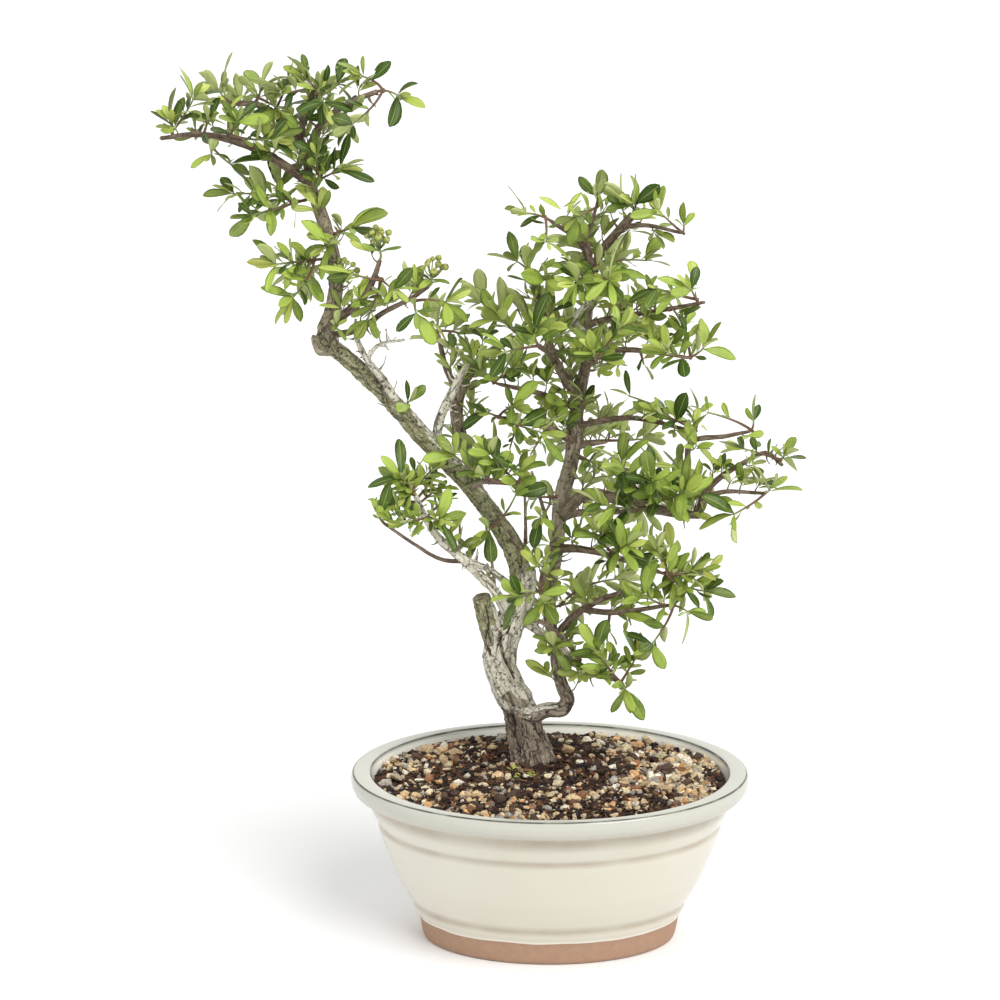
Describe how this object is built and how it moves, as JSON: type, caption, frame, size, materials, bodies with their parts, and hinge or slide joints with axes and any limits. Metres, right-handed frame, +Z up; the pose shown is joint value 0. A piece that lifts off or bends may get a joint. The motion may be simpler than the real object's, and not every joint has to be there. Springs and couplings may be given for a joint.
{
  "type": "pyracantha bonsai in an oval pot",
  "caption": "Leaning pyracantha bonsai on a furrowed split trunk, with small evergreen leaves and green berries, in a cream glazed oval pot of gritty soil.",
  "frame": {"origin": "under the middle of the whole object's box, on the surface that the pot's foot stands on", "axes": "+Z up along the tree, +X towards the end of the pot that the crown leans away from, +Y away from the tree's viewing side"},
  "size_m": [0.3986, 0.2008, 0.5728],
  "materials": {
    "glaze": "gloss",
    "soil": "matte",
    "wood": "matte",
    "leaf": "satin",
    "berry": "satin",
    "screen": "matte"
  },
  "bodies": {
    "root": {"pot": "glaze", "drain_screen_left": "screen", "drain_screen_right": "screen", "soil": "soil", "trunk_and_branches": "wood", "berries_high": "berry", "berries_arm": "berry", "berries_limb": "berry", "spray_crown_west": "leaf", "spray_crown_west_low": "leaf", "spray_crown_west_high": "leaf", "spray_crown_mid": "leaf", "spray_crown_mid_high": "leaf", "spray_crown_spire": "leaf", "spray_crown_back": "leaf", "spray_crown_east": "leaf", "spray_crown_under": "leaf", "spray_west_bough": "leaf", "spray_trio_bough": "leaf", "spray_west_low_bough": "leaf", "spray_berry_bough": "leaf", "spray_berry_arm_bough": "leaf", "spray_limb_trio": "leaf", "spray_grey_bough": "leaf", "spray_grey_bough_high": "leaf", "spray_rosette_bough": "leaf", "spray_shade_bough": "leaf", "spray_stub_bough": "leaf", "spray_apex_west": "leaf", "spray_apex_spire": "leaf", "spray_apex_head": "leaf", "spray_apex_east": "leaf", "spray_apex_back": "leaf", "spray_apex_front": "leaf", "spray_east_twig_bough": "leaf", "spray_east_low_bough": "leaf", "spray_east_back": "leaf", "spray_centre_front": "leaf", "spray_centre_back": "leaf", "spray_waist_west": "leaf", "spray_waist_east": "leaf", "spray_waist_back": "leaf", "spray_shelf_rise_bough": "leaf", "spray_shelf_arm_bough": "leaf", "spray_shelf_arm_low_bough": "leaf", "spray_shelf_front": "leaf", "spray_shelf_back": "leaf", "spray_west_shelf": "leaf", "spray_west_pad": "leaf", "spray_west_pad_low": "leaf", "spray_west_twig_bough": "leaf", "spray_skirt_front": "leaf", "spray_skirt_east": "leaf", "spray_skirt_low": "leaf", "spray_lap_bough": "leaf", "spray_lap_leaves": "leaf", "spray_hem_bough": "leaf", "spray_hem_back": "leaf", "spray_neck_west": "leaf", "spray_neck_mid": "leaf"}
  },
  "joints": []
}
